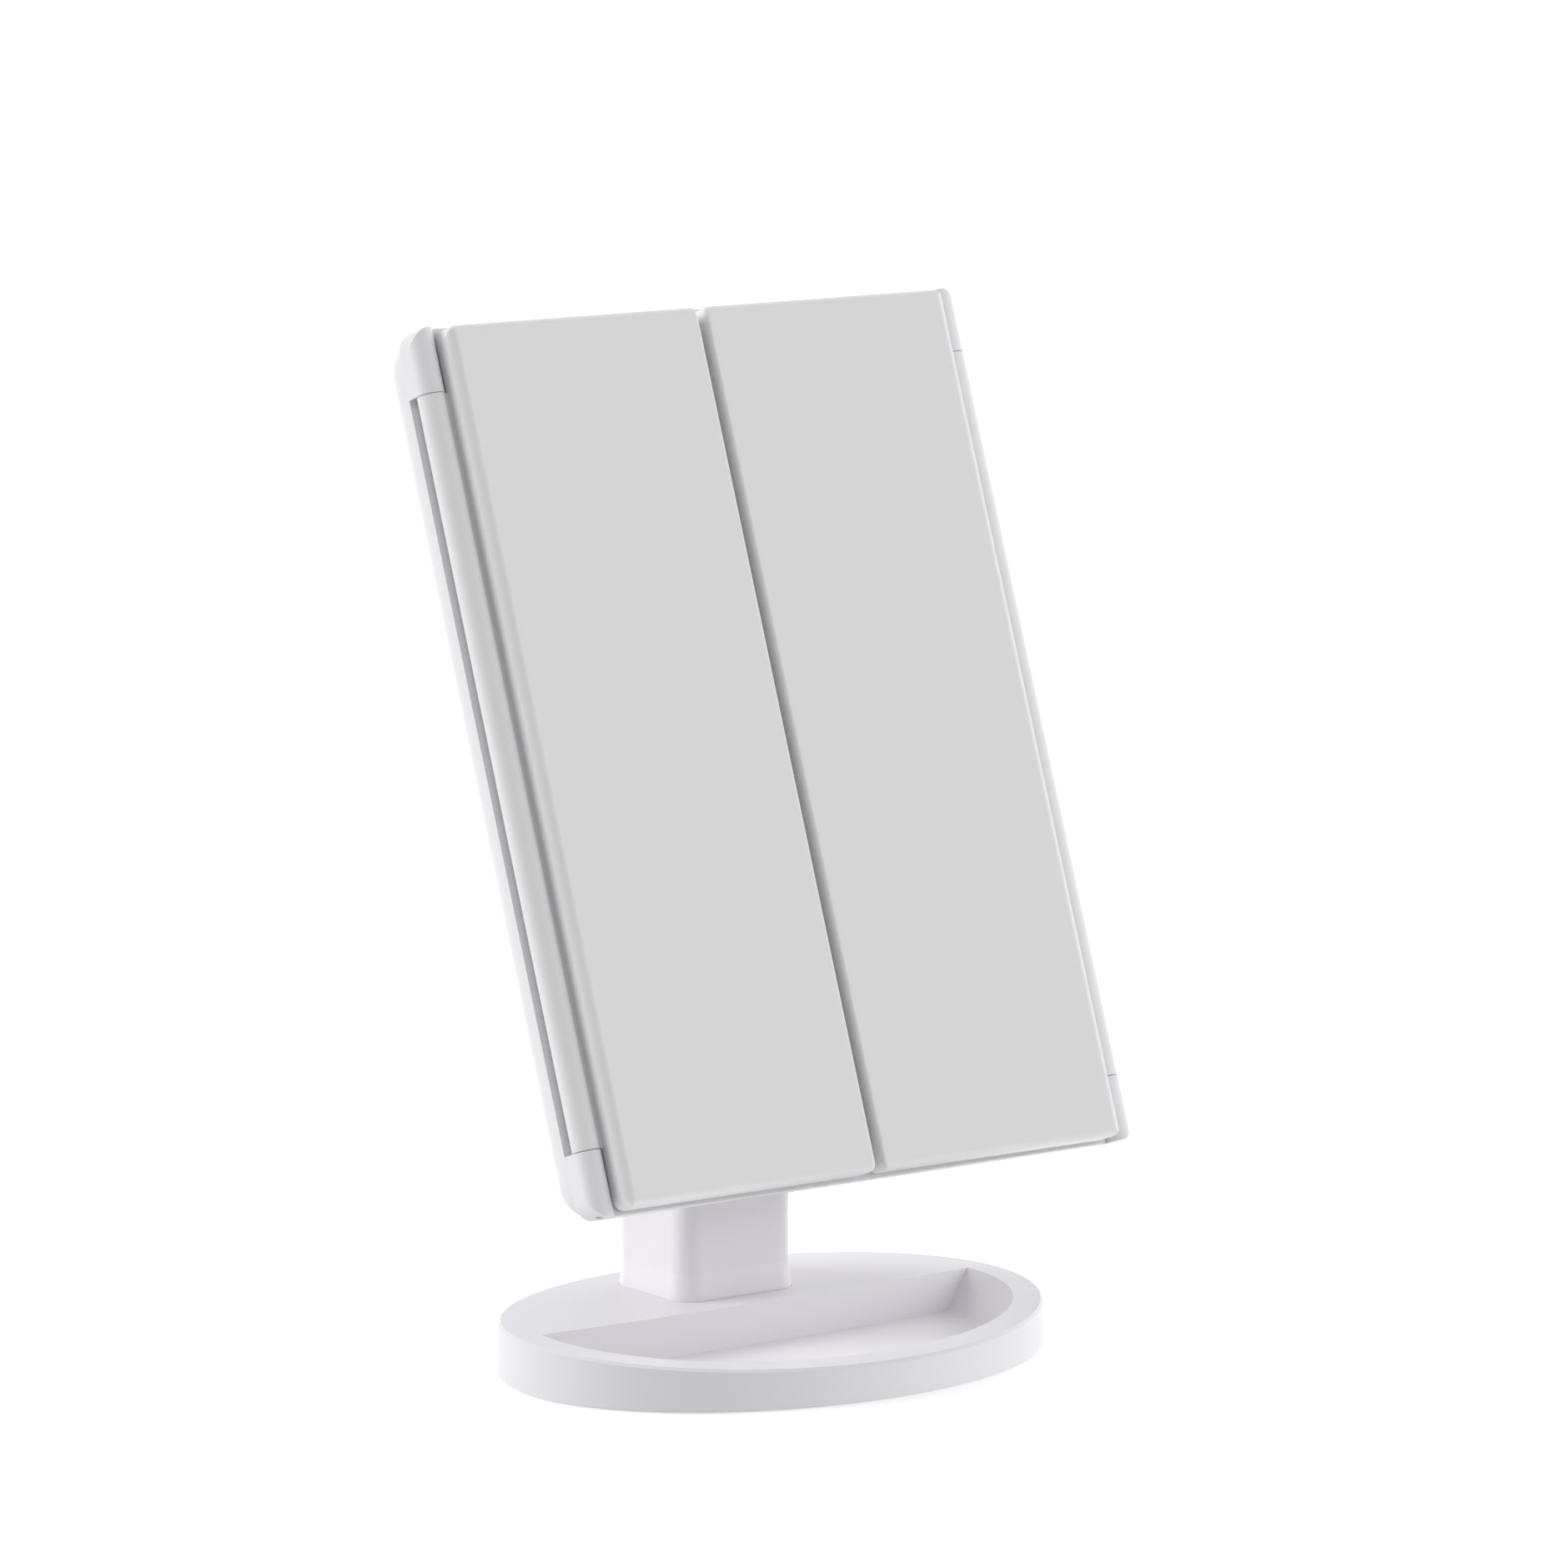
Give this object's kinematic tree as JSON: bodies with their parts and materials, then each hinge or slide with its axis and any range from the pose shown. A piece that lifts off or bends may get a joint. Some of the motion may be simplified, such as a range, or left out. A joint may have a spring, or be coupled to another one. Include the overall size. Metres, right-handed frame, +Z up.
{
  "type": "trifold vanity mirror",
  "caption": "Tabletop trifold make-up mirror: two wing panels fold over a lit central mirror, on a friction-tilt neck and an oval tray base.",
  "frame": {"origin": "middle of the oval base, on the surface it stands on", "axes": "+Z up, +X to the right as seen by the user, -Y towards the user"},
  "size_m": [0.18, 0.119, 0.2823],
  "materials": {
    "white_shell": "satin moulded ABS",
    "grey_plastic": "fine moulded texture",
    "ballast_iron": "rough",
    "foot_rubber": "soft grey rubber",
    "bumper_rubber": "soft white rubber",
    "steel": "zinc plated",
    "washer_plastic": "natural acetal",
    "mirror_glass": "silvered glass",
    "light_diffuser": "opal",
    "circuit_board": "solder resist",
    "battery_can": "satin sleeve",
    "contact_metal": "nickel plated",
    "flat_lead": "smooth",
    "dark_plastic": "fine texture",
    "socket_metal": "plated"
  },
  "bodies": {
    "stand": {"base_shell": "white_shell", "base_bottom_plate": "grey_plastic", "base_weight": "ballast_iron", "base_feet": "foot_rubber", "base_screws": "steel", "neck_shell": "white_shell", "neck_rear_cover": "white_shell", "neck_cover_screw": "steel", "neck_foot_screws": "steel", "friction_washers": "washer_plastic"},
    "head": {"rear_housing": "white_shell", "front_frame": "white_shell", "pivot_caps": "white_shell", "wing_bumpers": "bumper_rubber", "housing_screws": "steel", "board_screws": "steel", "hinge_pins": "steel", "tilt_shaft": "steel", "shaft_nut": "steel", "center_mirror": "mirror_glass", "light_window_left": "light_diffuser", "light_window_right": "light_diffuser", "led_board_left": "circuit_board", "led_board_right": "circuit_board", "control_board": "circuit_board", "charge_board": "circuit_board", "batteries": "battery_can", "battery_springs": "contact_metal", "battery_plates": "contact_metal", "touch_contact": "contact_metal", "flex_cables": "flat_lead", "switch_body": "dark_plastic", "charge_socket": "socket_metal"},
    "left_wing": {"left_wing_cover": "white_shell", "left_wing_frame": "white_shell", "left_mirror_lower": "mirror_glass", "left_mirror_upper": "mirror_glass"},
    "right_wing": {"right_wing_cover": "white_shell", "right_wing_frame": "white_shell", "right_mirror": "mirror_glass"},
    "battery_cover": {"battery_door": "white_shell"},
    "power_slider": {"switch_knob": "dark_plastic"}
  },
  "joints": [
    {"name": "head_tilt", "type": "hinge", "parent": "stand", "child": "head", "pos_m": [0, 0.006, 0.0762], "axis": [1, 0, 0], "range_deg": [-25, 35]},
    {"name": "left_wing_hinge", "type": "hinge", "parent": "head", "child": "left_wing", "pos_m": [-0.0862, -0.00006, 0.16838], "axis": [0, -0.3406, -0.9402], "range_deg": [0, 175]},
    {"name": "right_wing_hinge", "type": "hinge", "parent": "head", "child": "right_wing", "pos_m": [0.0862, -0.00006, 0.16838], "axis": [0, 0.3406, 0.9402], "range_deg": [0, 175]},
    {"name": "battery_cover_hinge", "type": "hinge", "parent": "head", "child": "battery_cover", "pos_m": [0, 0.00656, 0.14173], "axis": [-1, 0, 0], "range_deg": [0, 75]},
    {"name": "power_slide", "type": "slide", "parent": "head", "child": "power_slider", "axis": [1, 0, 0], "range_m": [0, 0.003]}
  ]
}
